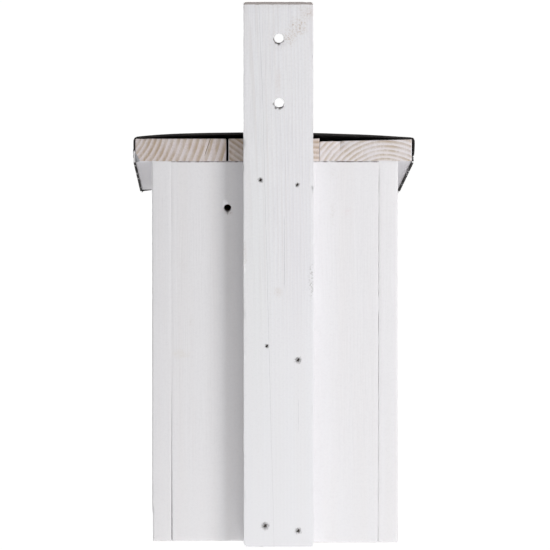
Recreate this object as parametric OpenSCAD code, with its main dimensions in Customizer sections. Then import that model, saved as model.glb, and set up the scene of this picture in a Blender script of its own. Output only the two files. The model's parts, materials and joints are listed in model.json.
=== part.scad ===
// A small nest box of painted pine boards with a felted roof, hung by a batten on its back.
// Origin: on the rear face of the batten, midway between the side walls, level with the
// batten's foot. +Z is up, the wall or tree is on the +Y side and the entrance faces -Y.
// Left and right are those of someone who stands in front of the box: right is +X.

/* [Walls] */
// Width over the two side walls
box_w = 180; // [140:1:260]
// Depth from the outer face of the back boards to the outer face of the front wall
box_d = 160; // [120:1:240]
// Height of the back boards under the roof, above the foot of the batten
back_h = 282.7; // [220:0.1:360]
// Distance that the foot of the batten hangs below the boards
foot_drop = 0.7; // [0:0.1:4]
// Thickness of the side walls, the back boards and the front wall
wall_t = 14; // [10:0.5:20]
// How much higher the boards of the right half end, because they were sawn short
short_cut = 1.3; // [0:0.1:4]
// Bore of the small hole in the right back board
vent_d = 5.3; // [3:0.1:5.6]
// Distance of the small hole from the middle of the box
vent_x = 34.7; // [28:0.1:44]
// Distance of the small hole below the roof
vent_drop = 34.4; // [20:0.1:60]

/* [Entrance] */
// Bore of the entrance
entrance_d = 32; // [25:1:50]
// Distance from the underside of the roof to the middle of the entrance
entrance_drop = 48; // [40:1:80]

/* [Floor] */
// Thickness of the floor board
floor_t = 14; // [10:0.5:20]
// Height of the underside of the floor above the foot of the batten
floor_up = 5.7; // [2:0.1:15]
// Bore of the drain holes
drain_d = 5; // [3:0.5:5.5]
// Distance of the drain holes from the inner faces of the walls
drain_in = 24; // [12:1:40]

/* [Roof] */
// Fall of the roof towards the front, in degrees
roof_pitch = 9.5; // [4:0.5:18]
// Level distance that the roof runs out past the front wall
front_overhang = 43; // [20:1:70]
// Distance that the roof boards run out past each side wall
side_overhang = 11.1; // [5:0.1:30]
// Thickness of the middle and the right roof board
roof_t = 16.2; // [11:0.1:24]
// Open joint between the right and the middle roof board
roof_gap = 1.6; // [0.4:0.1:4]
// How much wider the left roof board is than the other two
left_board_wider = 1; // [0:0.1:6]
// How much thinner the left roof board is at its outer edge
left_board_less = 0.6; // [0:0.1:3]
// How much thinner the left roof board is at its inner edge
board_taper = 2.1; // [0:0.1:4]
// Distance that the roof sits off the middle of the box, to the right
roof_shift = 1; // [-3:0.1:3]

/* [Roof felt] */
// Thickness of the felt
felt_t = 1.3; // [0.8:0.1:3]
// Height that the felt bulges off the boards along the middle
felt_crown = 3.6; // [1:0.1:10]
// Distance that the front flap hangs below the roof boards
flap_drop = 1; // [0:0.5:5]

/* [Hanging batten] */
// Width of the batten
batten_w = 51; // [44:0.5:70]
// Thickness of the batten
batten_t = 15; // [11:0.5:24]
// Height of the batten above the back boards
batten_above = 116.3; // [90:0.1:180]
// Distance of the batten from the middle of the box, negative to the left
batten_shift = -2.3; // [-8:0.1:8]
// How much the sawn top end of the batten falls towards the wall
end_fall = 1.7; // [0:0.1:4]
// Bore of the two screw holes
screw_hole_d = 7.8; // [4:0.1:12]
// Distance between the two screw holes
screw_hole_pitch = 47; // [30:0.5:70]
// Distance of the upper screw hole from the top of the batten
screw_hole_drop = 26.8; // [15:0.1:40]

/* [Brads and clout nails] */
// Length of the brads
brad_l = 25; // [20:1:28]
// Thickness of a brad
brad_t = 1.1; // [0.8:0.1:2]
// Width of a brad
brad_w = 2.2; // [1.5:0.1:3]
// Depth of a brad's head below the face of the wood
brad_sunk = 0.8; // [0.2:0.1:2]
// Diameter of a clout nail's head
clout_head_d = 7; // [4:0.5:10]
// Thickness of a clout nail's head
clout_head_t = 0.8; // [0.5:0.1:1.5]
// Diameter of a clout nail's shank
clout_d = 2.2; // [1.5:0.1:3]
// Length of a clout nail's shank under its head
clout_l = 14; // [10:1:20]

/* [Hidden] */
$fn = 48;

white_paint = [0.87, 0.87, 0.88];
bare_end = [0.76, 0.72, 0.68];
black_felt = [0.11, 0.105, 0.10];
zinc = [0.62, 0.63, 0.64];
dull_steel = [0.30, 0.28, 0.26];

back_y = -batten_t;                      // outer face of the back boards
inner_w = box_w - 2 * wall_t;
roof_w = box_w + 2 * side_overhang;
roof_board_w = (roof_w - roof_gap - left_board_wider) / 3;
left_board_w = roof_board_w + left_board_wider;
roof_run = box_d + front_overhang;
slope_l = roof_run / cos(roof_pitch);
plumb_spare = 12;                        // roof pieces start this far behind and are cut plumb
bore_spare = 1;                          // bores run this far past the faces they break
nail_fit = 0.1;                          // room around a clout nail's shank
brad_turn = -40;                         // lean of the brads in the batten
batten_h = back_h + batten_above;

// Height of the underside of the roof at a depth d in front of the back boards' outer face
function roof_z(d) = back_h - d * tan(roof_pitch);

// Height of the foot of a board of the left half, side = -1, or of the right half
function foot(side) = foot_drop + (side > 0 ? short_cut : 0);

// Brads of the batten: distance from its centre line, and height
brad_places = [
    [13, back_h - 13.1], [-13.7, back_h - 16.6],
    [8.5, back_h / 2 + 6.9], [-14.4, back_h / 2 - 3.4],
    [9.7, 15.7], [-14.5, 12]
];

// Brads of a side wall: depth in front of the back boards' outer face, and height
edge_margin = 26;
edge_rows = [edge_margin, (roof_z(box_d) + edge_margin) / 2 - edge_margin / 2,
             roof_z(box_d) - edge_margin];
side_brad_places = concat(
    [for (z = edge_rows) [wall_t / 2, z]],
    [for (z = edge_rows) [box_d - wall_t / 2, z + 4]],
    [for (k = [1, 2]) [box_d * k / 3, floor_up + floor_t / 2]]
);

// Clout nails: distances down the slope at the sides, and across at the front
side_nail_runs = [for (k = [0:3]) 22 + k * (slope_l - 44) / 3];
front_nail_xs = [for (k = [-1.5:1:1.5]) k * roof_w / 4.4];

// ---- shared shapes ----

// A board whose top follows the roof, from depth d0 to d1, and from x0 to x1
module board_under_roof(x0, x1, d0, d1, foot) {
    translate([x0, 0, 0]) rotate([90, 0, 90]) linear_extrude(x1 - x0)
        polygon([[back_y - d0, foot], [back_y - d0, roof_z(d0)],
                 [back_y - d1, roof_z(d1)], [back_y - d1, foot]]);
}

// Roof frame: origin on the underside at the back, Y up the slope
module on_slope() {
    translate([roof_shift, back_y, back_h]) rotate([roof_pitch, 0, 0]) children();
}

// A 2D outline run down the slope for a length l, with its back end cut plumb
module down_slope(l) {
    difference() {
        on_slope() translate([0, plumb_spare, 0]) rotate([90, 0, 0])
            linear_extrude(plumb_spare + l) children();
        translate([-box_w, back_y, 0]) cube([2 * box_w, 2 * plumb_spare, batten_h]);
    }
}

// A brad that points along -Y from its head at the origin
module brad(l, extra = 0) {
    translate([-brad_t / 2, -l, -brad_w / 2]) cube([brad_t, l + extra, brad_w]);
}

module batten_brad_shape(i, extra = 0) {
    translate([batten_shift + brad_places[i][0], -brad_sunk, brad_places[i][1]])
        rotate([0, brad_turn, 0]) brad(brad_l, extra);
}

// All the brads of one side wall, side = 1 on the right and -1 on the left
module side_brad_shapes(side, extra = 0) {
    for (p = side_brad_places)
        translate([side * (box_w / 2 - brad_sunk), back_y - p[0], p[1]])
            rotate([0, 0, -90 * side]) brad(brad_l, extra);
}

// A clout nail that points along -Z, its head standing on z = 0
module clout(fit = 0) {
    translate([0, 0, -clout_l]) cylinder(d = clout_d + 2 * fit, h = clout_l + clout_head_t / 2);
    if (fit == 0) cylinder(d = clout_head_d, h = clout_head_t);
}

module side_clouts(side, fit = 0) {
    on_slope() for (s = side_nail_runs)
        translate([side * (roof_w / 2 + felt_t), -s, roof_t / 2])
            rotate([0, side * 90, 0]) clout(fit);
}

module front_clouts(fit = 0) {
    on_slope() for (x = front_nail_xs)
        translate([x, -slope_l - felt_t, roof_t / 2]) rotate([90, 0, 0]) clout(fit);
}

// ---- walls and floor ----

module back_board(side) {
    x_in = batten_shift;
    x_out = side * inner_w / 2;
    color(white_paint) difference() {
        board_under_roof(min(x_in, x_out), max(x_in, x_out), 0, wall_t, foot(side));
        if (side > 0)
            translate([vent_x, back_y + bore_spare, back_h - vent_drop]) rotate([90, 0, 0])
                cylinder(d = vent_d, h = wall_t + 2 * bore_spare);
        for (i = [0:5]) batten_brad_shape(i);
        side_brad_shapes(side);
    }
}

module side_wall(side) {
    x0 = side > 0 ? box_w / 2 - wall_t : -box_w / 2;
    color(white_paint) difference() {
        board_under_roof(x0, x0 + wall_t, 0, box_d, foot(side));
        side_brad_shapes(side, 2 * brad_sunk);
    }
}

module front_wall() {
    color(white_paint) difference() {
        board_under_roof(-inner_w / 2, inner_w / 2, box_d - wall_t, box_d, foot_drop);
        translate([0, back_y - box_d + wall_t + bore_spare, roof_z(box_d) - entrance_drop])
            rotate([90, 0, 0]) cylinder(d = entrance_d, h = wall_t + 2 * bore_spare);
        for (side = [-1, 1]) side_brad_shapes(side);
    }
}

module floor_board() {
    floor_d = box_d - 2 * wall_t;
    color(white_paint) difference() {
        translate([-inner_w / 2, back_y - wall_t - floor_d, floor_up])
            cube([inner_w, floor_d, floor_t]);
        for (x = [-1, 1], y = [drain_in, floor_d - drain_in])
            translate([x * (inner_w / 2 - drain_in), back_y - wall_t - y, floor_up - bore_spare])
                cylinder(d = drain_d, h = floor_t + 2 * bore_spare);
        for (side = [-1, 1]) side_brad_shapes(side);
    }
}

// ---- roof ----

// k = -1 is the left board, 0 the middle one and 1 the right one
module roof_board(k) {
    w = k < 0 ? left_board_w : roof_board_w;
    x0 = k < 0 ? -roof_w / 2 : k == 0 ? -roof_w / 2 + left_board_w : roof_w / 2 - roof_board_w;
    left_t = k < 0 ? roof_t - left_board_less : roof_t;
    right_t = k < 0 ? roof_t - board_taper : roof_t;
    color(bare_end) difference() {
        down_slope(slope_l) polygon([[x0, 0], [x0, left_t], [x0 + w, right_t], [x0 + w, 0]]);
        if (k != 0) side_clouts(k, nail_fit);
        front_clouts(nail_fit);
    }
}

// Height of the felt's underside over the boards, at x across the roof
function crown_z(x) = roof_t - left_board_less * (0.5 - x / roof_w)
    + felt_crown * (1 - pow(2 * x / roof_w, 2));

module felt_outline(over, foot) {
    half = roof_w / 2;
    steps = 20;
    polygon(concat(
        [[-half - over, foot]],
        [for (i = [0:steps]) let (x = -half + i * roof_w / steps)
            [x * (half + over) / half, crown_z(x) + over]],
        [[half + over, foot]]
    ));
}

module roof_felt() {
    color(black_felt) difference() {
        union() {
            down_slope(slope_l + felt_t / 2) difference() {
                felt_outline(felt_t, 0);
                translate([0, -bore_spare]) felt_outline(0, 0);
                felt_outline(0, 0);
            }
            on_slope() translate([0, -slope_l, 0]) rotate([90, 0, 0]) linear_extrude(felt_t)
                felt_outline(felt_t, -flap_drop);
        }
        for (side = [-1, 1]) side_clouts(side, nail_fit);
        front_clouts(nail_fit);
    }
}

// ---- hanging batten ----

module hanging_batten() {
    color(white_paint) difference() {
        translate([batten_shift - batten_w / 2, 0, 0]) rotate([90, 0, 90]) linear_extrude(batten_w)
            polygon([[0, 0], [0, batten_h - end_fall], [back_y, batten_h], [back_y, 0]]);
        for (drop = [screw_hole_drop, screw_hole_drop + screw_hole_pitch])
            translate([batten_shift, bore_spare, batten_h - drop]) rotate([90, 0, 0])
                cylinder(d = screw_hole_d, h = batten_t + 2 * bore_spare);
        for (i = [0:5]) batten_brad_shape(i, 2 * brad_sunk);
    }
}

hanging_batten();
back_board(-1);  // back_board_left
back_board(1);  // back_board_right
side_wall(-1);  // side_wall_left
side_wall(1);  // side_wall_right
front_wall();
floor_board();
roof_board(-1);  // roof_board_left
roof_board(0);  // roof_board_middle
roof_board(1);  // roof_board_right
roof_felt();
color(dull_steel) side_brad_shapes(-1);  // side_brads_left
color(dull_steel) side_brad_shapes(1);  // side_brads_right
color(zinc) side_clouts(-1);  // felt_nails_left
color(zinc) side_clouts(1);  // felt_nails_right
color(zinc) front_clouts();  // felt_nails_front
for (i = [0:5])
    color(dull_steel) batten_brad_shape(i);
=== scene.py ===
import json
import math

import bmesh
import bpy
from mathutils import Matrix, Vector, noise


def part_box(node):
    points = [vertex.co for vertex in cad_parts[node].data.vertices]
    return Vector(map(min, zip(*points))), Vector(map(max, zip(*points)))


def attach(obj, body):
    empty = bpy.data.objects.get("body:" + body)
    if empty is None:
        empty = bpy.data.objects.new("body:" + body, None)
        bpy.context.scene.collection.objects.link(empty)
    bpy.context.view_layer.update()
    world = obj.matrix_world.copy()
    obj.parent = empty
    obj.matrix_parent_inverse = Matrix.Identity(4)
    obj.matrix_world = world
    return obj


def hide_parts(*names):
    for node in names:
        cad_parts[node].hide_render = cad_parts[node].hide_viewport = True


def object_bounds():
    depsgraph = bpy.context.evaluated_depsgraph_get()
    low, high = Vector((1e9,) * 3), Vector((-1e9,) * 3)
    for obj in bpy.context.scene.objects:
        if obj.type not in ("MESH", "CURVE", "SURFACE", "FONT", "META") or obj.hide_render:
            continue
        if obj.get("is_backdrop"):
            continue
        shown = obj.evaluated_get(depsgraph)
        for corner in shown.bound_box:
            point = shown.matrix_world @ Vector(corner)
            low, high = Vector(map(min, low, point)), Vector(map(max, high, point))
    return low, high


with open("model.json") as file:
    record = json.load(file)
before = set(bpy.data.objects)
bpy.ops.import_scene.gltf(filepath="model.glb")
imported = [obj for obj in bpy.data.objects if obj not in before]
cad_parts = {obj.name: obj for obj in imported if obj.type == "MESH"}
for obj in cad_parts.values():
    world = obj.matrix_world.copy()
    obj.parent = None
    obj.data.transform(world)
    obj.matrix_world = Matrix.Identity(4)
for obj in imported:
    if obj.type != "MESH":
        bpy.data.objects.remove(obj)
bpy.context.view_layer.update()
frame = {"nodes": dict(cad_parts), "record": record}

# ---- Back boards ----
# Two planed pine boards that meet edge to edge behind the hanging batten. They are glued and
# bradded between the side walls and painted with one thin coat of white, so that the grain
# still shows. The right one has a small drilled hole and was sawn a little short.

MM = 0.001
X, Y, Z = Vector((1, 0, 0)), Vector((0, 1, 0)), Vector((0, 0, 1))


def board_copy(node_name):
    """The board as the joiner cut it: the CAD node's own shape, with its triangles joined up."""
    board = bmesh.new()
    board.from_mesh(frame["nodes"][node_name].data)
    bmesh.ops.remove_doubles(board, verts=board.verts, dist=0.002 * MM)
    bmesh.ops.dissolve_limit(board, angle_limit=math.radians(0.5), verts=board.verts, edges=board.edges)
    return board


def arrises(board, shortest=6 * MM):
    """The board's own long edges, without those of brad slots and bores."""
    reach = [[v.co[k] for v in board.verts] for k in range(3)]
    planes = [(k, end) for k in range(3) for end in (min(reach[k]), max(reach[k]))]
    return [e for e in board.edges
            if e.calc_length() > shortest and e.calc_face_angle(0) > math.radians(40)
            and any(all(abs(v.co[k] - end) < 1 * MM for v in e.verts) for k, end in planes)]


def ease(board, edges, radius, segments=3):
    """Sands edges round to a radius."""
    bmesh.ops.bevel(board, geom=edges, offset=radius, offset_type="OFFSET", segments=segments,
                    profile=0.5, affect="EDGES", material=-1, clamp_overlap=True)


def slice_at(board, direction, at):
    """Cuts the board's faces across, where a plane meets them."""
    bmesh.ops.bisect_plane(board, geom=board.verts[:] + board.edges[:] + board.faces[:],
                           dist=0.001 * MM, plane_co=direction * at, plane_no=direction)


def slice_along(board, direction, step):
    """Cuts across at even steps, so that the long edges can wander."""
    reach = [v.co.dot(direction) for v in board.verts]
    first, last = min(reach), max(reach)
    count = int((last - first) / step)
    for k in range(1, count):
        slice_at(board, direction, first + (last - first) * k / count)


def slice_beside_edges(board, directions, inset):
    """Cuts a narrow band along each edge, so that wear on the edge leaves the flat face flat."""
    for direction in directions:
        reach = [v.co.dot(direction) for v in board.verts]
        first, last = min(reach), max(reach)
        slice_at(board, direction, first + inset)
        slice_at(board, direction, last - inset)


def season(board, node_name, wander, nicks, seed, sloping=False):
    """Lets the outer edges of a board wander inwards, and takes small nicks out of them."""
    low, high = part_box(node_name)
    edge_band = 2.6 * MM
    rounded = math.radians(12)
    board.normal_update()
    moves = []
    for v in board.verts:
        place = v.co + Vector((seed, 2 * seed, 3 * seed))
        bend = max((e.calc_face_angle(0) for e in v.link_edges), default=0)
        outer = sum(min(c - a, b - c) < edge_band for c, a, b in zip(v.co, low, high)) > 1
        if bend > rounded and (outer or sloping):
            slow = 0.5 + 0.5 * noise.noise(place * 60)
            nick = max(0.0, noise.noise(place * 230) - 0.30)
            moves.append(v.normal * (wander * slow + nicks * nick))
        else:
            moves.append(Vector())
    for v, move in zip(board.verts, moves):
        v.co -= move
        v.co = [min(max(c, a), b) for c, a, b in zip(v.co, low, high)]


def shape_up(shape, name, materials, node_names):
    """Makes a bmesh a finished piece, which stands for its CAD nodes."""
    mesh = bpy.data.meshes.new(name)
    shape.to_mesh(mesh)
    shape.free()
    piece = bpy.data.objects.new(name, mesh)
    bpy.context.scene.collection.objects.link(piece)
    for material in materials:
        mesh.materials.append(material)
    mesh.set_sharp_from_angle(angle=math.radians(40))
    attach(piece, "root")
    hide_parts(*node_names)
    return piece


def add(tree, kind, sockets=None, **settings):
    """One shader node: settings are its own, sockets are values or links of its inputs."""
    made = tree.nodes.new("ShaderNode" + kind)
    for key, value in settings.items():
        setattr(made, key, value)
    for key, value in (sockets or {}).items():
        if isinstance(value, bpy.types.NodeSocket):
            tree.links.new(value, made.inputs[key])
        else:
            made.inputs[key].default_value = value
    return made


def ramp(tree, amount, stops):
    """A curve of grey values through (position, value) stops."""
    made = add(tree, "ValToRGB", {"Fac": amount})
    while len(made.color_ramp.elements) < len(stops):
        made.color_ramp.elements.new(0.5)
    for element, (position, value) in zip(made.color_ramp.elements, stops):
        element.position = position
        element.color = (value, value, value, 1)
    return made.outputs["Color"]


def sums(tree, operation, a, b, clamp=False):
    return add(tree, "Math", {0: a, 1: b}, operation=operation, use_clamp=clamp).outputs[0]


def blend(tree, share, a, b):
    """Colour b over colour a."""
    made = add(tree, "Mix", data_type="RGBA")
    for key, value in (("Factor_Float", share), ("A_Color", a), ("B_Color", b)):
        socket = next(s for s in made.inputs if s.identifier == key)
        if isinstance(value, bpy.types.NodeSocket):
            tree.links.new(value, socket)
        else:
            socket.default_value = value if key == "Factor_Float" else (*value, 1)
    return next(s for s in made.outputs if s.identifier == "Result_Color")


def new_finish(name):
    """An empty material: its tree and its shader."""
    material = bpy.data.materials.new(name)
    material.use_nodes = True
    tree = material.node_tree
    return material, tree, tree.nodes["Principled BSDF"]


def timber(tree, heart, grain, ring, slope=0.0, drift=3 * MM, growth=1.0):
    """Pine's year rings round a heart, a point in the board's cross-section. Below 1, growth
    widens the rings outwards. Gives the late wood's share, and the place with the grain's
    length pressed flat."""
    turn = Matrix.Rotation(-slope, 3, "X")
    spot = add(tree, "TexCoord").outputs["Object"]
    placed = add(tree, "Mapping", {"Vector": spot, "Rotation": (-slope, 0, 0),
                                   "Location": -(turn @ Vector(heart))}).outputs[0]
    press = [1.0, 1.0, 1.0]
    press["XYZ".index(grain)] = 0.04
    flat = add(tree, "VectorMath", {0: placed, 1: press}, operation="MULTIPLY").outputs[0]
    wave = add(tree, "TexNoise", {"Vector": flat, "Scale": 42.0, "Detail": 3.0}).outputs["Color"]
    bent = add(tree, "VectorMath", {0: wave, 1: (drift,) * 3, 2: flat}, operation="MULTIPLY_ADD")
    away = add(tree, "VectorMath", {0: bent.outputs[0]}, operation="LENGTH").outputs["Value"]
    young = 45 * MM
    years = sums(tree, "MULTIPLY", sums(tree, "POWER", sums(tree, "DIVIDE", away, young), growth),
                 young / (ring * growth))
    year = sums(tree, "FRACT", years, 0.0)
    late = ramp(tree, year, [(0.0, 0.0), (0.28, 0.10), (0.62, 0.95), (0.86, 1.0), (1.0, 0.0)])
    return late, flat


def stains(tree, colour, marks, grain):
    """Soft blotches where knots and resin come through the paint, and other marks: grime, rust, torn paint,
    and dark lines and flecks that paint shade in slits and at the screw holes.
    A mark is its middle, its reach across and along the grain, its strength, its colour and
    how much of it is speckled."""
    spot = add(tree, "TexCoord").outputs["Object"]
    for k, (middle, across, along, strength, tint, speckled) in enumerate(marks):
        reach = [across] * 3
        reach["XYZ".index(grain)] = along
        size = [1 / r for r in reach]
        near = add(tree, "Mapping", {"Vector": spot, "Scale": size,
                                     "Location": [-m * s for m, s in zip(middle, size)]}).outputs[0]
        blur = add(tree, "TexNoise", {"Vector": spot, "Scale": 260.0 + 30 * k, "Detail": 4.0}).outputs[0]
        away = add(tree, "VectorMath", {0: near}, operation="LENGTH").outputs["Value"]
        rough = sums(tree, "ADD", away, sums(tree, "MULTIPLY", sums(tree, "SUBTRACT", blur, 0.5), 1.6))
        share = sums(tree, "MULTIPLY", ramp(tree, rough, [(0.1, 1.0), (0.95, 0.0)]), strength)
        if speckled:
            dots = add(tree, "TexNoise", {"Vector": spot, "Scale": 760.0, "Detail": 2.0,
                                          "Roughness": 0.7}).outputs[0]
            share = sums(tree, "MULTIPLY", share, ramp(tree, dots, [(0.50, 1 - speckled), (0.60, 1.6)]))
        colour = blend(tree, share, colour, tint)
    return colour


def hairline(tree, colour, relief, crack, dark):
    """A drying crack along an upright board, with a painted highlight along one side of it. Its path is the
    place across at the foot, the lean, and the height above which it leans more; then its width, its top
    and bottom, its strength."""
    foot_x, lean, knee, more, width, low, high, strength = crack
    x, y, z = add(tree, "SeparateXYZ", {0: add(tree, "TexCoord").outputs["Object"]}).outputs
    above = sums(tree, "MAXIMUM", sums(tree, "SUBTRACT", z, knee), 0.0)
    path = sums(tree, "ADD", sums(tree, "MULTIPLY", z, lean), sums(tree, "MULTIPLY", above, more))
    heights = add(tree, "CombineXYZ", {"Z": z}).outputs[0]
    wander = add(tree, "TexNoise", {"Vector": heights, "Scale": 45.0, "Detail": 3.0}).outputs[0]
    path = sums(tree, "ADD", path, sums(tree, "MULTIPLY", wander, 1.2 * MM))
    off = sums(tree, "SUBTRACT", sums(tree, "SUBTRACT", x, foot_x - 0.6 * MM), path)
    broken = add(tree, "TexNoise", {"Vector": heights, "Scale": 160.0, "Detail": 2.0}).outputs[0]
    there = ramp(tree, broken, [(0.28, 0.35), (0.46, 1.0)])
    for edge, sign in ((low, 1), (high, -1)):
        ends = add(tree, "MapRange", {"Value": z, "From Min": edge, "From Max": edge + sign * 4 * MM})
        there = sums(tree, "MULTIPLY", there, ends.outputs[0])
    groove = add(tree, "MapRange", {"Value": sums(tree, "ABSOLUTE", off, 0.0), "From Min": 0.0,
                                    "From Max": width, "To Min": 1.0, "To Max": 0.0}).outputs[0]
    groove = sums(tree, "MULTIPLY", groove, sums(tree, "MULTIPLY", there, strength), clamp=True)
    # A lighter strip along one side of the groove is a painted highlight.
    lit_lip_off = sums(tree, "ABSOLUTE", sums(tree, "ADD", off, 1.1 * width), 0.0)
    lit_lip = add(tree, "MapRange", {"Value": lit_lip_off, "From Min": 0.0, "From Max": width,
                                 "To Min": 0.5, "To Max": 0.0}).outputs[0]
    colour = blend(tree, sums(tree, "MULTIPLY", lit_lip, there), colour, (0.86, 0.86, 0.87))
    colour = blend(tree, groove, colour, tuple(0.62 * d for d in dark))
    return colour, sums(tree, "SUBTRACT", relief, sums(tree, "MULTIPLY", groove, 3.0))


def painted_pine(name, heart, grain="Z", ring=3.4 * MM, slope=0.0, marks=(),
                 white=(0.81, 0.80, 0.818), show=0.03, brushed=0.010, stipple=0.035, cracks=(),
                 shade_lines=(), calm=0.0):
    """One thin coat of white, with the grain and the brush showing in it, less so below the
    height calm. Marks are stains; the marks that lie across the grain are dark lines that paint the shade
    in a slit."""
    material, tree, shader = new_finish(name)
    late, flat = timber(tree, heart, grain, ring, slope)
    spot = add(tree, "TexCoord").outputs["Object"]
    under = tuple(w * f for w, f in zip(white, (0.80, 0.755, 0.72)))
    height = add(tree, "SeparateXYZ", {0: spot}).outputs[2]
    lively = add(tree, "MapRange", {"Value": height, "From Min": calm, "From Max": calm + 90 * MM,
                                    "To Min": 0.15, "To Max": 1.0}).outputs[0]
    uneven = add(tree, "TexNoise", {"Vector": flat, "Scale": 170.0, "Detail": 2.0}).outputs[0]
    fine = sums(tree, "MULTIPLY", ramp(tree, late, [(0.50, 0.0), (1.0, 1.0)]),
                ramp(tree, uneven, [(0.36, 0.15), (0.64, 1.0)]))
    colour = blend(tree, sums(tree, "MULTIPLY", sums(tree, "MULTIPLY", fine, lively), show), white, under)
    cloud = add(tree, "TexNoise", {"Vector": flat, "Scale": 90.0, "Detail": 3.0}).outputs[0]
    warm = tuple(w * f for w, f in zip(white, (0.985, 0.970, 0.955)))
    colour = blend(tree, sums(tree, "MULTIPLY", ramp(tree, cloud, [(0.42, 0.0), (0.62, 1.0)]), 0.4),
                   colour, warm)
    dark = tuple(w * f for w, f in zip(white, (0.80, 0.79, 0.81)))
    brush = add(tree, "TexNoise", {"Vector": flat, "Scale": 620.0, "Detail": 2.0,
                                   "Roughness": 0.75}).outputs[0]
    patchy = add(tree, "TexNoise", {"Vector": spot, "Scale": 28.0, "Detail": 2.0}).outputs[0]
    lines = sums(tree, "MULTIPLY", ramp(tree, brush, [(0.40, 0.0), (0.66, 1.0)]),
                 sums(tree, "MULTIPLY", ramp(tree, patchy, [(0.35, 0.35), (0.62, 1.0)]), lively))
    colour = blend(tree, sums(tree, "MULTIPLY", lines, brushed * 5), colour, dark)
    pores = add(tree, "TexNoise", {"Vector": spot, "Scale": 620.0, "Detail": 3.0,
                                   "Roughness": 0.7}).outputs[0]
    colour = blend(tree, sums(tree, "MULTIPLY", ramp(tree, pores, [(0.46, 0.0), (0.72, 1.0)]), stipple * 5),
                   colour, dark)
    strokes = sums(tree, "ADD", sums(tree, "MULTIPLY", lines, -0.9), sums(tree, "MULTIPLY", pores, 0.5))
    relief = sums(tree, "ADD", sums(tree, "MULTIPLY", late, 0.3), strokes)
    for crack in cracks:
        colour, relief = hairline(tree, colour, relief, crack, dark)
    colour = stains(tree, colour, marks, grain)
    colour = stains(tree, colour, shade_lines, "X")
    bump = add(tree, "Bump", {"Height": relief, "Strength": 0.35, "Distance": 0.15 * MM})
    gloss = sums(tree, "ADD", sums(tree, "MULTIPLY", pores, 0.25), 0.42)
    tree.links.new(colour, shader.inputs["Base Color"])
    tree.links.new(gloss, shader.inputs["Roughness"])
    tree.links.new(bump.outputs[0], shader.inputs["Normal"])
    return material


def sawn_end(name, heart, grain="Z", ring=3.4 * MM, slope=0.0, tan=(0.50, 0.42, 0.35),
             pale=(0.66, 0.60, 0.585), wash=0.5, drift=2 * MM, growth=1.0, saw=0.35,
             cracks=(), black_top_band=None):
    """End grain off the saw: rings of early and late wood under a thin, uneven wash of white."""
    material, tree, shader = new_finish(name)
    late, flat = timber(tree, heart, grain, ring, slope, drift, growth)
    spot = add(tree, "TexCoord").outputs["Object"]
    colour = blend(tree, late, pale, tan)
    fuzz = add(tree, "TexNoise", {"Vector": spot, "Scale": 1100.0, "Detail": 4.0,
                                  "Roughness": 0.7}).outputs[0]
    leant = add(tree, "Mapping", {"Vector": spot, "Rotation": (0, math.radians(-32), 0),
                                  "Scale": (1.0, 1.0, 0.16)}).outputs[0]
    marks = add(tree, "TexNoise", {"Vector": leant, "Scale": 620.0, "Detail": 2.0}).outputs[0]
    cover = add(tree, "TexNoise", {"Vector": spot, "Scale": 75.0, "Detail": 3.0,
                                   "Roughness": 0.6}).outputs[0]
    share = sums(tree, "MULTIPLY", ramp(tree, cover, [(0.38, 0.15), (0.66, 1.0)]), wash)
    colour = blend(tree, share, colour, (0.76, 0.73, 0.755))
    colour = blend(tree, sums(tree, "MULTIPLY", ramp(tree, marks, [(0.50, 0.0), (0.70, 1.0)]), saw),
                   colour, tuple(1.08 * c for c in pale))
    colour = blend(tree, sums(tree, "MULTIPLY", ramp(tree, fuzz, [(0.52, 0.0), (0.76, 1.0)]), 0.45),
                   colour, tuple(0.62 * c for c in tan))
    relief = sums(tree, "ADD", sums(tree, "MULTIPLY", late, 0.5),
                  sums(tree, "ADD", sums(tree, "MULTIPLY", fuzz, 1.0), sums(tree, "MULTIPLY", marks, 0.8)))
    for crack in cracks:
        colour, relief = hairline(tree, colour, relief, crack, tan)
    if black_top_band:  # a ragged black band along the upper edge, under the felt
        z = add(tree, "SeparateXYZ", {0: spot}).outputs[2]
        near = add(tree, "MapRange", {"Value": z, "From Min": black_top_band - 0.8 * MM,
                                      "From Max": black_top_band}).outputs[0]
        rags = add(tree, "TexNoise", {"Vector": leant, "Scale": 1500.0, "Detail": 2.0}).outputs[0]
        near = sums(tree, "ADD", near, sums(tree, "MULTIPLY", sums(tree, "SUBTRACT", rags, 0.5), 2.2))
        colour = blend(tree, ramp(tree, near, [(0.86, 0.0), (0.98, 1.0)]), colour, (0.012, 0.010, 0.009))
    bump = add(tree, "Bump", {"Height": relief, "Strength": 0.5, "Distance": 0.25 * MM})
    tree.links.new(colour, shader.inputs["Base Color"])
    tree.links.new(bump.outputs[0], shader.inputs["Normal"])
    shader.inputs["Roughness"].default_value = 0.85
    return material


def bare_pine(name, heart, grain="Z"):
    """Unpainted pine, as it is inside the box."""
    material, tree, shader = new_finish(name)
    late, flat = timber(tree, heart, grain, 3.4 * MM, drift=5 * MM)
    colour = blend(tree, late, (0.62, 0.43, 0.25), (0.42, 0.24, 0.11))
    fibre = add(tree, "TexNoise", {"Vector": flat, "Scale": 1300.0, "Detail": 4.0}).outputs[0]
    colour = blend(tree, ramp(tree, fibre, [(0.5, 0.0), (0.8, 0.5)]), colour, (0.33, 0.20, 0.11))
    relief = sums(tree, "ADD", late, fibre)
    bump = add(tree, "Bump", {"Height": relief, "Strength": 0.4, "Distance": 0.2 * MM})
    tree.links.new(colour, shader.inputs["Base Color"])
    tree.links.new(bump.outputs[0], shader.inputs["Normal"])
    shader.inputs["Roughness"].default_value = 0.7
    return material


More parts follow.
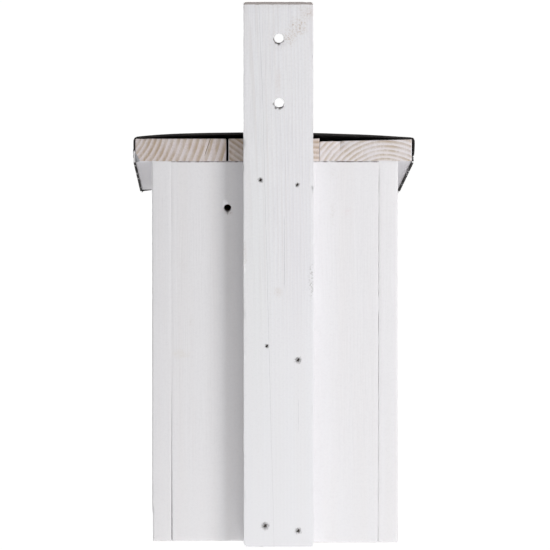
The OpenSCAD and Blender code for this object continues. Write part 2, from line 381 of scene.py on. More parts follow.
wall_low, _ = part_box("side_wall_left")
_, wall_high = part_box("side_wall_right")
left_back_low, left_back_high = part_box("back_board_left")
_, right_back_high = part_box("back_board_right")
front_low, front_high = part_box("front_wall")
back_y = left_back_high.y
roof_foot = left_back_high.z
slope = math.atan2(roof_foot - front_high.z, back_y - front_high.y)
chamber_low = Vector((left_back_low.x, front_high.y, front_low.z))
chamber_high = Vector((right_back_high.x, left_back_low.y, roof_foot))


def sort_faces(board, grain):
    """Face materials of a wall: 0 painted, 1 end grain, 2 bare wood towards the chamber."""
    middle = (chamber_low + chamber_high) / 2
    skin = 0.3 * MM
    for face in board.faces:
        spot = face.calc_center_median()
        inside = all(chamber_low[k] - skin < spot[k] < chamber_high[k] + skin for k in range(3))
        if inside and face.normal.dot(middle - spot) > 0 and abs(face.normal.z) < 0.5:
            face.material_index = 2
        elif abs(face.normal.dot(grain)) > 0.7:
            face.material_index = 1


def paint_joint(board, axis, at, slit_at):
    """Brings eased edges beside a joint back to it, as if paint had filled them, all but a slit
    whose half width changes along the joint."""
    reach = 1.2 * MM
    depth = 2.0 * MM
    middle = sum((v.co[axis] for v in board.verts)) / len(board.verts)
    side = 1 if middle > at else -1
    for v in board.verts:
        off = abs(v.co[axis] - at)
        if off < reach and v.co.y > back_y - depth:
            slit = slit_at(v.co)
            left_over = min(0.2, 2 * slit / MM)
            v.co[axis] = at + side * (left_over * off + slit)
            v.co.y = back_y - left_over * (back_y - v.co.y)


def right_joint(place):
    """Half width of the slit on the right: filled above, open and kinked at the foot."""
    down = max(0.0, 1 - place.z / (140 * MM))
    kink = 0.5 + 0.5 * noise.noise(Vector((0, 0, place.z * 90)))
    return (0.003 + 0.38 * down ** 1.6 * (0.7 + 0.6 * kink)) * MM


def left_joint(place):
    """Half width of the slit on the left: thin, in places bridged by paint."""
    open_here = 0.5 + noise.noise(Vector((5, 0, place.z * 70))) + noise.noise(Vector((9, 0, place.z * 260)))
    return max(0.01, min(0.16, 0.16 * open_here)) * MM


def roof_joint(place):
    """Half width of the slit under the roof boards."""
    open_here = 0.4 + noise.noise(Vector((place.x * 60, 3, 0))) + noise.noise(Vector((place.x * 300, 8, 0)))
    return max(0.02, min(0.24, 0.20 * open_here)) * MM


knot_tint = (0.66, 0.63, 0.61)
warm_tint = (0.74, 0.69, 0.62)
rose_tint = (0.76, 0.68, 0.70)
back_marks = {
    "back_board_right": [((0.067, back_y, 0.206), 4 * MM, 8 * MM, 0.16, knot_tint, 0.5),
                         ((0.062, back_y, 0.165), 4 * MM, 5 * MM, 0.16, knot_tint, 0.6),
                         ((0.070, back_y, 0.141), 10 * MM, 5 * MM, 0.22, warm_tint, 0.3),
                         ((0.034, back_y, 0.2455), 4.4 * MM, 4.4 * MM, 0.30, (0.45, 0.36, 0.30), 0.8)],
    "back_board_left": [((-0.042, back_y, 0.245), 3 * MM, 11 * MM, 0.24, knot_tint, 0.7),
                        ((-0.053, back_y, 0.246), 5 * MM, 6 * MM, 0.24, rose_tint, 0.7),
                        ((-0.043, back_y, 0.273), 5 * MM, 8 * MM, 0.20, knot_tint, 0.7)],
}
for node_name, heart, joint_x, slit in (
        ("back_board_left", (-0.030, back_y - 60 * MM, 0.0), left_back_low.x, left_joint),
        ("back_board_right", (0.052, back_y - 45 * MM, 0.0), right_back_high.x, right_joint)):
    # A dark line along the top of the back, just under the roof boards, paints the shade in the slit there.
    shade_line = ((0.047, 52 * MM) if "right" in node_name else (-0.053, 38 * MM))
    board = board_copy(node_name)
    ease(board, arrises(board), 0.6 * MM)
    slice_beside_edges(board, (X, Y, Z), 2.2 * MM)
    slice_along(board, Z, 4 * MM)
    slice_along(board, X, 4 * MM)
    season(board, node_name, 0.12 * MM, 0.8 * MM, 3.1 if "right" in node_name else 5.7)
    paint_joint(board, 0, joint_x, slit)
    paint_joint(board, 2, roof_foot, roof_joint)
    sort_faces(board, Z)
    shape_up(board, "nest_" + node_name,
             [painted_pine(node_name + "_paint", heart, marks=back_marks[node_name],
                           shade_lines=[((shade_line[0], back_y, roof_foot - 0.4 * MM), 0.95 * MM, shade_line[1], 1.0,
                                   (0.10, 0.07, 0.07), 0.0)]),
              sawn_end(node_name + "_ends", heart, wash=0.8),
              bare_pine(node_name + "_inside", heart)],
             [node_name])

# ---- Side walls ----
# Planed pine boards, their tops sawn to the fall of the roof. They close the box at both sides
# and are bradded into the edges of the back boards, the front wall and the floor.

thick_from = 200 * MM
thicker_right, thicker_left = 0.60, 0.80
bruise_top, bruise_in = 26.5 * MM, 0.6 * MM
for node_name, heart, joint_x, slit in (
        ("side_wall_left", (wall_low.x - 30 * MM, back_y - 70 * MM, 0.0), left_back_low.x, left_joint),
        ("side_wall_right", (wall_high.x + 25 * MM, back_y - 95 * MM, 0.0), right_back_high.x,
         right_joint)):
    board = board_copy(node_name)
    ease(board, arrises(board), 0.7 * MM)
    slice_beside_edges(board, (X, Y, Z), 2.2 * MM)
    slice_along(board, Z, 4 * MM)
    slice_at(board, Z, thick_from)
    season(board, node_name, 0.14 * MM, 0.8 * MM, 8.3 if "left" in node_name else 1.9)
    for v in board.verts:  # planed a little thicker towards the foot, where one corner is bruised
        foot = max(0.0, 1 - v.co.z / thick_from)
        if v.co.x > wall_high.x - 3 * MM:
            v.co.x += thicker_right * foot * MM
            if v.co.z < bruise_top and v.co.y > back_y - 2.4 * MM:
                v.co.x -= bruise_in
        elif v.co.x < wall_low.x + 3 * MM:
            v.co.x -= thicker_left * foot * MM
    paint_joint(board, 0, joint_x, slit)
    paint_joint(board, 2, roof_foot, roof_joint)
    sort_faces(board, Z)
    shape_up(board, "nest_" + node_name,
             [painted_pine(node_name + "_paint", heart),
              sawn_end(node_name + "_ends", heart, wash=0.8),
              bare_pine(node_name + "_inside", heart)],
             [node_name])

# ---- Front wall ----
# One planed board between the side walls, with the round entrance bored through it. The rim
# of the hole is sanded, and the bore's end grain above and below has only a wash of white.

entrance_z = (frame["record"]["physics"]["openings"][1]["box_m"][0][2]
              + frame["record"]["physics"]["openings"][1]["box_m"][1][2]) / 2
entrance_r = 16 * MM


def rim_edges(board, middle, radius, y_faces):
    """Edges of a bore's rims, where it breaks a face at one of the given depths."""
    found = []
    for e in board.edges:
        ends = [v.co for v in e.verts]
        on_rim = all(abs(math.hypot(p.x - middle[0], p.z - middle[1]) - radius) < 0.1 * MM for p in ends)
        if on_rim and any(all(abs(p.y - y) < 0.05 * MM for p in ends) for y in y_faces):
            found.append(e)
    return found


board = board_copy("front_wall")
heart = (0.024, front_low.y + 52 * MM, 0.0)
ease(board, rim_edges(board, (0.0, entrance_z), entrance_r, (front_low.y, front_high.y)), 1.2 * MM)
ease(board, arrises(board), 0.7 * MM)
slice_beside_edges(board, (X, Y, Z), 2.2 * MM)
slice_along(board, Z, 5 * MM)
season(board, "front_wall", 0.10 * MM, 0.8 * MM, 4.4)
sort_faces(board, Z)
shape_up(board, "nest_front_wall",
         [painted_pine("front_wall_paint", heart,
                       marks=[((0.047, front_low.y, 0.112), 5 * MM, 9 * MM, 0.25, knot_tint, 0.5),
                              ((-0.041, front_low.y, 0.060), 4 * MM, 6 * MM, 0.2, warm_tint, 0.4)]),
          sawn_end("front_wall_ends", heart, wash=0.8),
          bare_pine("front_wall_inside", heart)],
         ["front_wall"])

# ---- Floor board ----
# A bare pine board let in between the walls, a little above their feet, with a drain hole
# near each corner. Brads through the side walls hold it.

floor_low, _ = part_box("floor_board")
board = board_copy("floor_board")
heart = (0.03, 0.0, floor_low.z - 40 * MM)
ease(board, arrises(board), 0.6 * MM)
slice_beside_edges(board, (X, Y, Z), 2 * MM)
slice_along(board, Y, 8 * MM)
season(board, "floor_board", 0.10 * MM, 0.8 * MM, 6.2)
shape_up(board, "nest_floor_board", [bare_pine("floor_pine", heart, grain="Y")],
         ["floor_board"])

# ---- Brads of the side walls ----
# Flat steel brads shot through the side walls, their heads a little below the paint.

def dull_wire(name):
    """Uncoated steel wire, gone dark."""
    material, tree, shader = new_finish(name)
    spot = add(tree, "TexCoord").outputs["Object"]
    grime = add(tree, "TexNoise", {"Vector": spot, "Scale": 2200.0, "Detail": 3.0}).outputs[0]
    colour = blend(tree, ramp(tree, grime, [(0.35, 0.0), (0.7, 1.0)]), (0.030, 0.024, 0.021),
                   (0.075, 0.050, 0.036))
    tree.links.new(colour, shader.inputs["Base Color"])
    tree.links.new(sums(tree, "ADD", sums(tree, "MULTIPLY", grime, 0.3), 0.45), shader.inputs["Roughness"])
    shader.inputs["Metallic"].default_value = 0.6
    return material


wire = dull_wire("dull_steel_wire")


def brads(node_names, piece_name):
    """The CAD brads with their heads eased, where they are."""
    shape = bmesh.new()
    for node_name in node_names:
        shape.from_mesh(frame["nodes"][node_name].data)
    bmesh.ops.remove_doubles(shape, verts=shape.verts, dist=0.002 * MM)
    bmesh.ops.dissolve_limit(shape, angle_limit=math.radians(0.5), verts=shape.verts, edges=shape.edges)
    ease(shape, list(shape.edges), 0.18 * MM, 2)
    return shape_up(shape, piece_name, [wire], node_names)


for side in ("left", "right"):
    brads(["side_brads_" + side], "nest_side_brads_" + side)

# ---- Hanging batten ----
# A rough-sawn pine batten on the middle of the back, with two holes for the screws. Its foot's
# corners are rounded off, its top end was left bare off the saw and has weathered grey.

batten_low, batten_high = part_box("hanging_batten")
batten_x = (batten_low.x + batten_high.x) / 2
holes = [box["box_m"] for box in frame["record"]["physics"]["openings"] if "screw_hole" in box["name"]]
screw_holes = [((b[0][0] + b[1][0]) / 2, (b[0][2] + b[1][2]) / 2) for b in holes]
screw_hole_r = frame["record"]["mounts"][1]["dims"]["hole_r_mm"] * MM


def weathered_end(name):
    """Bare end grain that has gone grey-brown, with the saw's fuzz on it."""
    material, tree, shader = new_finish(name)
    spot = add(tree, "TexCoord").outputs["Object"]
    fuzz = add(tree, "TexNoise", {"Vector": spot, "Scale": 700.0, "Detail": 5.0,
                                  "Roughness": 0.7}).outputs[0]
    colour = blend(tree, ramp(tree, fuzz, [(0.35, 0.0), (0.7, 1.0)]), (0.30, 0.26, 0.245),
                   (0.58, 0.53, 0.515))
    bump = add(tree, "Bump", {"Height": fuzz, "Strength": 0.7, "Distance": 0.4 * MM})
    tree.links.new(colour, shader.inputs["Base Color"])
    tree.links.new(bump.outputs[0], shader.inputs["Normal"])
    shader.inputs["Roughness"].default_value = 0.9
    return material


def dark_bore_shade(name, white):
    """The inside of a drilled hole: torn fibres with crumbs of paint, near black, which paints the shade in
    the bore; it also paints the shade under the batten's foot.
    """
    material, tree, shader = new_finish(name)
    spot = add(tree, "TexCoord").outputs["Object"]
    fuzz = add(tree, "TexNoise", {"Vector": spot, "Scale": 900.0, "Detail": 4.0,
                                  "Roughness": 0.7}).outputs[0]
    crumbs = add(tree, "TexNoise", {"Vector": spot, "Scale": 330.0, "Detail": 3.0}).outputs[0]
    colour = blend(tree, fuzz, (0.020, 0.014, 0.012), (0.09, 0.065, 0.055))
    colour = blend(tree, ramp(tree, crumbs, [(0.60, 0.0), (0.63, 1.0)]), colour, white)
    bump = add(tree, "Bump", {"Height": fuzz, "Strength": 0.8, "Distance": 0.4 * MM})
    tree.links.new(colour, shader.inputs["Base Color"])
    tree.links.new(bump.outputs[0], shader.inputs["Normal"])
    shader.inputs["Roughness"].default_value = 0.9
    return material


def corner_edges(board, x, z):
    """The edge through the thickness of a board at one of its corners."""
    reach = 1 * MM
    return [e for e in board.edges
            if all(abs(v.co.x - x) < reach and abs(v.co.z - z) < reach for v in e.verts)
            and e.calc_length() > 6 * MM]


board = board_copy("hanging_batten")
for middle in screw_holes:
    ease(board, rim_edges(board, middle, screw_hole_r, (batten_low.y, batten_high.y)), 0.7 * MM, 3)
ease(board, corner_edges(board, batten_high.x, 0), 3.8 * MM, 6)
ease(board, corner_edges(board, batten_low.x, 0), 1.5 * MM, 5)
top_z = batten_high.z
saw_depth, top_dip, top_hollow = 0.35, 0.33, 0.12
hole_narrowed, hole_shift, fibre_depth = 0.10, 0.5, 0.45
for x, worn in ((batten_low.x, 1.5 * MM), (batten_high.x, 2.1 * MM)):
    ease(board, [e for e in board.edges if e.calc_length() > 6 * MM and all(
        abs(v.co.x - x) < 0.1 * MM and v.co.z > top_z - 3 * MM for v in e.verts)], worn, 4)
ease(board, [e for e in arrises(board) if all(
    v.co.x > batten_high.x - 0.1 * MM and v.co.y > batten_high.y - 0.1 * MM for v in e.verts)], 1.05 * MM)
ease(board, [e for e in arrises(board, 14 * MM) if min(v.co.z for v in e.verts) < top_z - 3 * MM], 0.9 * MM)
slice_beside_edges(board, (X, Y, Z), 2.4 * MM)
slice_along(board, Z, 2.5 * MM)
slice_along(board, X, 2.5 * MM)
season(board, "hanging_batten", 0.16 * MM, 1.3 * MM, 2.6)
for v in board.verts:
    if v.co.z > top_z - 2.2 * MM:  # saw marks on the top end
        out = (v.co.x - batten_x) / (batten_high.x - batten_x)
        v.co.z -= saw_depth * MM * max(0.0, noise.noise(Vector((v.co.x * 500, v.co.y * 160, 4))))
        v.co.z -= (top_dip + top_hollow * out * out) * MM
    for hole_x, hole_z in screw_holes:  # torn fibres narrow the holes
        away = Vector((v.co.x - hole_x, 0, v.co.z - hole_z))
        if away.length < screw_hole_r + 0.9 * MM:
            torn = noise.noise(Vector((v.co.x * 420, 0.5, v.co.z * 420)))
            v.co -= away * hole_narrowed + X * hole_shift * MM
            v.co -= away.normalized() * fibre_depth * MM * torn
    if v.co.x < batten_low.x + 1.2 * MM and v.co.z > 290 * MM:
        v.co.x += 0.2 * MM
for face in board.faces:
    spot = face.calc_center_median()
    if face.normal.z > 0.5 and spot.z > top_z - 4 * MM:
        face.material_index = 1
    # The underside of the foot takes the near-black finish, as painted shade under the foot.
    elif face.normal.z < -0.3 and spot.z < 1.5 * MM:
        face.material_index = 2
    # Round each hole, the rim's faces that lie low and towards +X, and the bore but for its top and its
    # side towards -X, take the near-black finish: torn wood, darkened as painted shade.
    for hole_x, hole_z in screw_holes:
        way = Vector((spot.x + hole_shift * MM - hole_x, 0, spot.z - hole_z))
        if way.length < screw_hole_r + 1.6 * MM and abs(face.normal.y) < 0.97:
            torn = noise.noise(Vector((spot.x * 420, 7.5, spot.z * 420)))
            below = way.normalized().dot(Vector((0.65, 0, -0.75)))
            if below + torn > 0.35 or (abs(face.normal.y) < 0.3 and below > -0.2):
                face.material_index = 2
heart = (batten_high.x + 4 * MM, batten_low.y - 9 * MM, 0.0)
batten_white = (0.850, 0.847, 0.870)
grime = (0.60, 0.52, 0.47)
batten_marks = [
    ((batten_low.x + 4 * MM, 0.0, 0.391), 9 * MM, 8 * MM, 0.45, grime, 0.6),
    ((batten_low.x + 11 * MM, 0.0, 0.381), 8 * MM, 9 * MM, 0.65, grime, 0.85),
    ((batten_low.x + 17 * MM, 0.0, 0.373), 6 * MM, 7 * MM, 0.60, grime, 0.85),
    ((batten_x, 0.0, 0.3715), 8 * MM, 8 * MM, 0.36, (0.52, 0.47, 0.47), 0.9),
    ((batten_x, 0.0, 0.325), 7 * MM, 7 * MM, 0.26, (0.55, 0.49, 0.50), 0.9),
    ((batten_x, 0.0, 0.341), 3 * MM, 14 * MM, 0.26, (0.70, 0.62, 0.60), 0.2),
    ((batten_x, 0.0, 0.188), 4 * MM, 5 * MM, 0.38, (0.66, 0.59, 0.55), 0.4),
    ((batten_low.x + 1.6 * MM, 0.0, 0.196), 2.2 * MM, 17 * MM, 0.75, (0.42, 0.40, 0.39), 0.95),
    ((batten_high.x - 9 * MM, 0.0, 0.200), 15 * MM, 190 * MM, 0.35, (0.785, 0.80, 0.80), 0.0),
    ((batten_low.x + 12 * MM, 0.0, 0.220), 16 * MM, 120 * MM, 0.30, (0.80, 0.785, 0.84), 0.0),
    # A darker band along the top of the face, just under the sawn end.
    ((batten_low.x + 25 * MM, 0.0, 0.398), 26 * MM, 4 * MM, 0.30, (0.55, 0.50, 0.47), 0.5),
    ((batten_high.x - 1 * MM, 0.0, 0.215), 2 * MM, 14 * MM, 0.30, (0.62, 0.55, 0.50), 0.6),
    # A wide, faint blotch that makes the batten a little darker towards its foot.
    ((batten_x, 0.0, -0.02), 70 * MM, 210 * MM, 0.60, (0.80, 0.797, 0.82), 0.0),
]
# Near-black flecks just outside each screw hole, low and mostly towards +X: torn paint, darkened to paint
# the shade at the holes' rims.
torn_paint_and_shade = (((2.9, -0.8, 1.2), (1.8, -3.1, 1.2), (-0.5, -3.8, 1.7)),
         ((3.2, -0.4, 1.4), (1.9, -3.0, 1.5), (-1.0, -3.4, 1.5), (-2.5, -2.6, 1.5)))
for (hole_x, hole_z), torn_and_shaded in zip(sorted(screw_holes, key=lambda hole: -hole[1]), torn_paint_and_shade):
    for across, up, size in torn_and_shaded:
        batten_marks.append(((hole_x + across * MM, 0.0, hole_z + up * MM), size * MM, size * MM, 1.0,
                             (0.045, 0.03, 0.028), 0.0))
for k, rust in enumerate((2.5, 2.1, 2.0, 3.1, 3.6, 2.9), 1):  # round the brads
    middle = sum(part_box(f"batten_brad_{k}"), Vector()) / 2
    batten_marks.append(((middle.x, 0.0, middle.z), rust * MM, rust * MM, 1.0, (0.05, 0.035, 0.03), 0.0))
long_crack = (1.0 * MM, 0.0251, 0.324, 0.0141, 0.28 * MM, -0.05, 0.45, 0.50)
knot_crack = (-6.5 * MM, 0.0, 1.0, 0.0, 0.30 * MM, 0.190, 0.244, 0.75)
low_crack = (-17.0 * MM, 0.0, 1.0, 0.0, 0.25 * MM, 0.085, 0.110, 0.55)
shape_up(board, "nest_hanging_batten",
         [painted_pine("batten_paint", heart, ring=2.1 * MM, marks=batten_marks, white=batten_white,
                       show=0.35, brushed=0.066, stipple=0.066, calm=135 * MM,
                       cracks=(long_crack, knot_crack, low_crack)),
          weathered_end("batten_ends"), dark_bore_shade("drilled_holes_shaded", batten_white)],
         ["hanging_batten"])

for k in range(1, 7):
    brads([f"batten_brad_{k}"], f"nest_batten_brad_{k}")

# ---- Roof boards ----
# Three boards side by side from back to front, their back ends sawn flush with the box, so
# that the rings show. Their undersides are painted; the ends only caught a wash of the paint.

roof = {side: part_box("roof_board_" + side) for side in ("left", "middle", "right")}
roof_left_x, roof_right_x = roof["left"][0].x, roof["right"][1].x
roof_thick = (roof["middle"][1].z - roof_foot) * math.cos(slope)
downhill = Vector((0, -math.cos(slope), -math.sin(slope)))
roof_up = Vector((0, -math.sin(slope), math.cos(slope)))
ends = {  # a board's heart off the middle of its back end, across and up, and its end grain's look
    "right": (65 * MM, 26 * MM, dict(ring=3.5 * MM, growth=0.45, tan=(0.445, 0.335, 0.235),
                                     pale=(0.67, 0.60, 0.595), wash=0.42, saw=0.5,
                                     cracks=((0.1546, -0.36, 1.0, 0.0, 0.42 * MM, 0.286, 0.303, 2.4),))),
    "middle": (-33 * MM, 89 * MM, dict(ring=3.6 * MM, tan=(0.41, 0.295, 0.19), pale=(0.66, 0.575, 0.53),
                                       wash=0.30)),
    "left": (-14 * MM, -37 * MM, dict(ring=3.3 * MM, growth=0.8, tan=(0.50, 0.405, 0.315),
                                      pale=(0.76, 0.71, 0.715), wash=0.60)),
}


def thin_joint(place):
    """Half width of the slit between the middle and the left roof board."""
    return max(0.02, 0.12 + 0.2 * noise.noise(Vector((1, 1, place.z * 300)))) * MM


for side in ("left", "middle", "right"):
    low, high = roof[side]
    board = board_copy("roof_board_" + side)
    ease(board, arrises(board), 0.45 * MM, 2)
    slice_beside_edges(board, (X, Y, downhill, roof_up), 1.6 * MM)
    slice_along(board, X, 1.6 * MM)
    slice_along(board, downhill, 8 * MM)
    seed = {"left": 7.7, "middle": 0.9, "right": 3.4}[side]
    season(board, "roof_board_" + side, 0.15 * MM, 1.1 * MM, seed, sloping=True)
    paint_joint(board, 2, roof_foot, roof_joint)
    if side != "right":
        paint_joint(board, 0, roof["left"][1].x, thin_joint)
    for face in board.faces:  # paint ran over one edge of the middle board's end
        painted = side == "middle" and face.calc_center_median().x > high.x - 0.5 * MM
        if abs(face.normal.y) > 0.7 and not painted:
            face.material_index = 1
    if side == "right":  # the corner over the wall was knocked off
        knock = Vector((6.2, 2.6, -3.4)).normalized()
        cut = bmesh.ops.bisect_plane(board, geom=board.verts[:] + board.edges[:] + board.faces[:],
                                     dist=0.001 * MM, clear_outer=True, plane_no=knock,
                                     plane_co=(high.x, back_y, roof_foot + 6.6 * MM))
        rim = [e for e in cut["geom_cut"] if isinstance(e, bmesh.types.BMEdge)]
        broken = bmesh.ops.contextual_create(board, geom=rim)["faces"]
        for face in broken:
            face.material_index = 2
        bmesh.ops.recalc_face_normals(board, faces=board.faces)
    across, up, look = ends[side]
    heart = ((low.x + high.x) / 2 + across, back_y, (roof_foot + high.z) / 2 + up)
    finishes = [painted_pine("roof_paint_" + side, heart, grain="Y", slope=slope,
                             white=(0.80, 0.785, 0.815)),
                sawn_end("roof_ends_" + side, heart, grain="Y", slope=slope, black_top_band=high.z, **look)]
    # The broken face gets grey-blue, darker end grain, which paints the shade on it.
    if side == "right":
        finishes.append(sawn_end("roof_knocked_corner_shaded", heart, tan=(0.42, 0.42, 0.44),
                                 pale=(0.50, 0.51, 0.54), wash=0.2))
    shape_up(board, "nest_roof_board_" + side, finishes, ["roof_board_" + side])

# ---- Roof felt ----
# One piece of sanded black roofing felt, bent down over both sides and the front. It bulges
# off the boards in the middle, its back end is cut by hand and one corner stands off.

_, felt_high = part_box("roof_felt")
felt_thick = felt_high.x - roof_right_x
roof_middle_x = (roof_left_x + roof_right_x) / 2
roof_half = (roof_right_x - roof_left_x) / 2
left_thick = (roof["left"][1].z - roof_foot) * math.cos(slope)
felt_crown = 3.25 * MM
roof_long = (back_y - roof["middle"][0].y - roof_thick * math.sin(slope)) / math.cos(slope)
side_flap = roof_thick + 0.4 * MM
front_flap = roof_thick + 1.0 * MM
to_roof = Matrix.Translation((roof_middle_x, back_y, roof_foot)) @ Matrix.Rotation(slope, 4, "X")
nail_reach = roof_left_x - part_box("felt_nails_left")[0].x


def felt_height(share):
    """Height of the felt's inner face over the underside, at a share of the half width."""
    deck = left_thick + (roof_thick - left_thick) * (share + 1) / 2
    return deck + felt_crown * (1 - abs(share) ** (3.6 if share > 0 else 2.2))


def felt_point(s, t):
    """A point of the felt's inner face: s across from the middle, t down the slope from the back."""
    side = 1 if s > 0 else -1
    bend = 1.6 * MM if s > 0 else 0.9 * MM
    over = abs(s) - roof_half
    height = felt_height(max(-1.0, min(1.0, s / roof_half)))
    if over < -bend:
        x, h = s, height
    elif over < bend * (math.pi / 2 - 1):
        turn = (over + bend) / bend
        x, h = side * (roof_half - bend + bend * math.sin(turn)), height - bend + bend * math.cos(turn)
    else:
        x, h = side * roof_half, height - bend - (over - bend * (math.pi / 2 - 1))
    down = t - roof_long
    if down > 0:
        return Vector((x, -roof_long, h - down))
    plumb = max(0.0, 1 - t / (20 * MM))
    return Vector((x, h * math.tan(slope) * plumb - t, h))


sheet = bmesh.new()
bmesh.ops.create_grid(sheet, x_segments=180, y_segments=130, size=1.0)
for v in sheet.verts:
    v.co = (v.co.x * (roof_half + side_flap), (1 - v.co.y) / 2 * (roof_long + front_flap), 0)
bmesh.ops.delete(sheet, context="FACES", geom=[
    f for f in sheet.faces if abs(f.calc_center_median().x) > roof_half + 0.5 * MM
    and f.calc_center_median().y > roof_long + 0.5 * MM])
for v in sheet.verts:
    s, t = v.co.x, v.co.y
    flap = max(0.0, (abs(s) - roof_half) / side_flap)
    near_back = max(0.0, 1 - t / (12 * MM))
    if s > 0:  # the corner torn off at the back
        t += max(0.0, flap - 0.50) * 11 * MM * near_back
    t += abs(0.45 * MM * noise.noise(Vector((s * 400, 7, 0)))) * near_back
    place = felt_point(s, t)
    if s < 0:  # the corner that stands off
        loose = max(0.0, 1 - t / (70 * MM)) ** 1.5
        reach = max(0.0, min(1.0, (abs(s) - roof_half + 7 * MM) / (7 * MM)))
        fold = (nail_reach - felt_thick) * loose * (reach if flap == 0 else max(0.0, 1 - (flap / 0.8) ** 3))
        place.x -= fold
    calm = max(0.0, min(1.0, (roof_half - abs(s)) / (20 * MM)))
    place.z += calm * 0.30 * MM * noise.noise(Vector((s * 26, t * 20, 3)))
    v.co = to_roof @ place
bmesh.ops.recalc_face_normals(sheet, faces=sheet.faces)
if sum(f.normal.z for f in sheet.faces) < 0:
    bmesh.ops.reverse_faces(sheet, faces=sheet.faces)


def sanded_felt(name):
    """Black bitumen felt with fine sand pressed into it, and smears of wall paint on its edge."""
    material, tree, shader = new_finish(name)
    spot = add(tree, "TexCoord").outputs["Object"]
    sand = add(tree, "TexVoronoi", {"Vector": spot, "Scale": 1900.0}).outputs["Distance"]
    cloud = add(tree, "TexNoise", {"Vector": spot, "Scale": 60.0, "Detail": 4.0}).outputs[0]
    speck = add(tree, "TexNoise", {"Vector": spot, "Scale": 2400.0, "Detail": 2.0}).outputs[0]
    colour = blend(tree, ramp(tree, cloud, [(0.35, 0.0), (0.65, 1.0)]), (0.013, 0.0115, 0.011),
                   (0.025, 0.022, 0.020))
    colour = blend(tree, ramp(tree, speck, [(0.60, 0.0), (0.72, 0.35)]), colour, (0.075, 0.070, 0.066))
    blots = add(tree, "TexNoise", {"Vector": spot, "Scale": 420.0, "Detail": 3.0}).outputs[0]
    smears = ((roof_right_x + 0.8 * MM, 2.0 * MM, 2.6 * MM, 5.6 * MM, 0.30),
              (roof_left_x - 0.8 * MM, 0.0, 1.0 * MM, 3.2 * MM, 0.48))
    for across, along, up, reach, bare in smears:
        middle = (across, back_y - along, roof_foot + up)
        near = add(tree, "VectorMath", {0: spot, 1: middle}, operation="DISTANCE")
        close = add(tree, "MapRange", {"Value": near.outputs["Value"], "From Min": reach * 0.75,
                                       "From Max": reach, "To Min": 1.0, "To Max": 0.0}).outputs[0]
        share = sums(tree, "MULTIPLY", close, ramp(tree, blots, [(bare, 0.0), (bare + 0.05, 1.0)]))
        colour = blend(tree, share, colour, (0.80, 0.79, 0.80))
    height = add(tree, "VectorMath", {0: spot, 1: roof_up}, operation="DOT_PRODUCT").outputs["Value"]
    height = sums(tree, "SUBTRACT", height, roof_up.dot(Vector((0, back_y, roof_foot))))
    brim = add(tree, "MapRange", {"Value": height, "From Min": 0.3 * MM, "From Max": 1.4 * MM,
                                  "To Min": 1.0, "To Max": 0.0}).outputs[0]
    runs = add(tree, "TexNoise", {"Vector": spot, "Scale": 85.0, "Detail": 4.0,
                                  "Roughness": 0.7}).outputs[0]
    colour = blend(tree, sums(tree, "MULTIPLY", brim, ramp(tree, runs, [(0.58, 0.0), (0.61, 1.0)])),
                   colour, (0.72, 0.71, 0.72))
    relief = sums(tree, "ADD", sand, sums(tree, "MULTIPLY", cloud, 0.6))
    bump = add(tree, "Bump", {"Height": relief, "Strength": 0.6, "Distance": 0.25 * MM})
    tree.links.new(colour, shader.inputs["Base Color"])
    tree.links.new(bump.outputs[0], shader.inputs["Normal"])
    shader.inputs["Roughness"].default_value = 0.82
    shader.inputs["Specular IOR Level"].default_value = 0.3
    return material


felt = shape_up(sheet, "nest_roof_felt", [sanded_felt("sanded_black_felt")], ["roof_felt"])
thickness = felt.modifiers.new("thickness", "SOLIDIFY")
thickness.thickness = felt_thick
thickness.offset = 1.0

# ---- Clout nails ----
# Galvanised clout nails with flat round heads hold the felt's flaps to the roof boards.

def zinc_coat(name):
    """Hot-dipped zinc, dull and a little spotted."""
    material, tree, shader = new_finish(name)
    spot = add(tree, "TexCoord").outputs["Object"]
    spangle = add(tree, "TexVoronoi", {"Vector": spot, "Scale": 800.0}).outputs["Color"]
    grey = add(tree, "SeparateColor", {"Color": spangle}).outputs[0]
    colour = blend(tree, grey, (0.34, 0.35, 0.36), (0.52, 0.53, 0.54))
    tree.links.new(colour, shader.inputs["Base Color"])
    tree.links.new(sums(tree, "ADD", sums(tree, "MULTIPLY", grey, 0.2), 0.38), shader.inputs["Roughness"])
    shader.inputs["Metallic"].default_value = 0.85
    return material


zinc = zinc_coat("dull_zinc")
for side in ("left", "right", "front"):
    shape = board_copy("felt_nails_" + side)
    ease(shape, [e for e in shape.edges if e.calc_face_angle(0) > math.radians(60)], 0.22 * MM, 2)
    shape_up(shape, "nest_felt_nails_" + side, [zinc], ["felt_nails_" + side])

# ---- Floor, lights and camera ----
# A pale studio floor well below the box that glows: faintly near the box, where its glow adds light from
# below, and fully in the distance. Soft lights stand behind the box, at its side and low down, in front of
# it and above it. A long lens looks from behind.

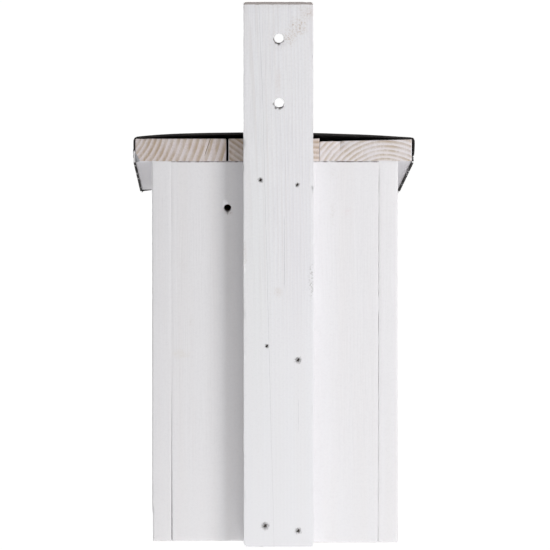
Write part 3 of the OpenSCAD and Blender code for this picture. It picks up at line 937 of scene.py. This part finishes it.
floor_drop = 1.7
floor_radius = 400.0
glow_starts, glow_full = 3.8, 7.2
floor_mesh = bmesh.new()
bmesh.ops.create_circle(floor_mesh, cap_ends=True, segments=96, radius=floor_radius)
bmesh.ops.translate(floor_mesh, verts=floor_mesh.verts, vec=(0, 0, -floor_drop))
floor_data = bpy.data.meshes.new("studio_floor")
floor_mesh.to_mesh(floor_data)
floor_mesh.free()
studio_floor = bpy.data.objects.new("studio_floor", floor_data)
bpy.context.scene.collection.objects.link(studio_floor)
floor_paint, floor_tree, floor_shader = new_finish("studio_floor_paint")
floor_shader.inputs["Base Color"].default_value = (0.8, 0.8, 0.8, 1)
floor_shader.inputs["Roughness"].default_value = 0.9
floor_spot = add(floor_tree, "TexCoord").outputs["Object"]
floor_away = add(floor_tree, "VectorMath", {0: floor_spot}, operation="LENGTH").outputs["Value"]
floor_glow = add(floor_tree, "MapRange", {"Value": floor_away, "From Min": glow_starts,
                                          "From Max": glow_full, "To Min": 0.30, "To Max": 0.97},
                 interpolation_type="SMOOTHSTEP")
floor_shader.inputs["Emission Color"].default_value = (1, 1, 1, 1)
floor_tree.links.new(floor_glow.outputs[0], floor_shader.inputs["Emission Strength"])
floor_data.materials.append(floor_paint)
studio_floor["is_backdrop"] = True

world = bpy.data.worlds.new("studio")
world.use_nodes = True
world.node_tree.nodes["Background"].inputs["Color"].default_value = (1.0, 1.0, 1.0, 1)
world.node_tree.nodes["Background"].inputs["Strength"].default_value = 0.08
bpy.context.scene.world = world

aim = Vector((0, back_y, 199.0 * MM))


def soft_light(name, azimuth, elevation, distance, size, power):
    """A square soft box that faces the aim. Azimuth 180 is behind the box, as for the camera."""
    a, e = math.radians(azimuth), math.radians(elevation)
    way = Vector((math.sin(a) * math.cos(e), -math.cos(a) * math.cos(e), math.sin(e)))
    data = bpy.data.lights.new(name, "AREA")
    data.shape = "SQUARE"
    data.size = size
    data.energy = power
    lamp = bpy.data.objects.new(name, data)
    lamp.location = aim + way * distance
    lamp.rotation_euler = way.to_track_quat("Z", "Y").to_euler()
    lamp.visible_camera = False
    bpy.context.scene.collection.objects.link(lamp)


soft_light("key_light", 230, 11, 1.0, 0.42, 6.35)
soft_light("low_light", 180, -60, 0.75, 0.6, 2.3)
soft_light("front_light", 25, 8, 1.0, 0.42, 5.5)
soft_light("top_light", 0, 80, 1.2, 0.5, 7.5)

camera_distance = 2.6
camera_view_width = 0.403
camera_azimuth, camera_elevation = 179.2, 5.0
eye = bpy.data.cameras.new("camera")
eye.lens = eye.sensor_width * camera_distance / camera_view_width
camera = bpy.data.objects.new("camera", eye)
bpy.context.scene.collection.objects.link(camera)
a, e = math.radians(camera_azimuth), math.radians(camera_elevation)
back = Vector((math.sin(a) * math.cos(e), -math.cos(a) * math.cos(e), math.sin(e)))
camera.location = aim + back * camera_distance
camera.rotation_euler = back.to_track_quat("Z", "Y").to_euler()
eye.clip_end = floor_radius + 100
bpy.context.scene.camera = camera
bpy.context.scene.view_settings.view_transform = "Standard"

low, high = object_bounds()
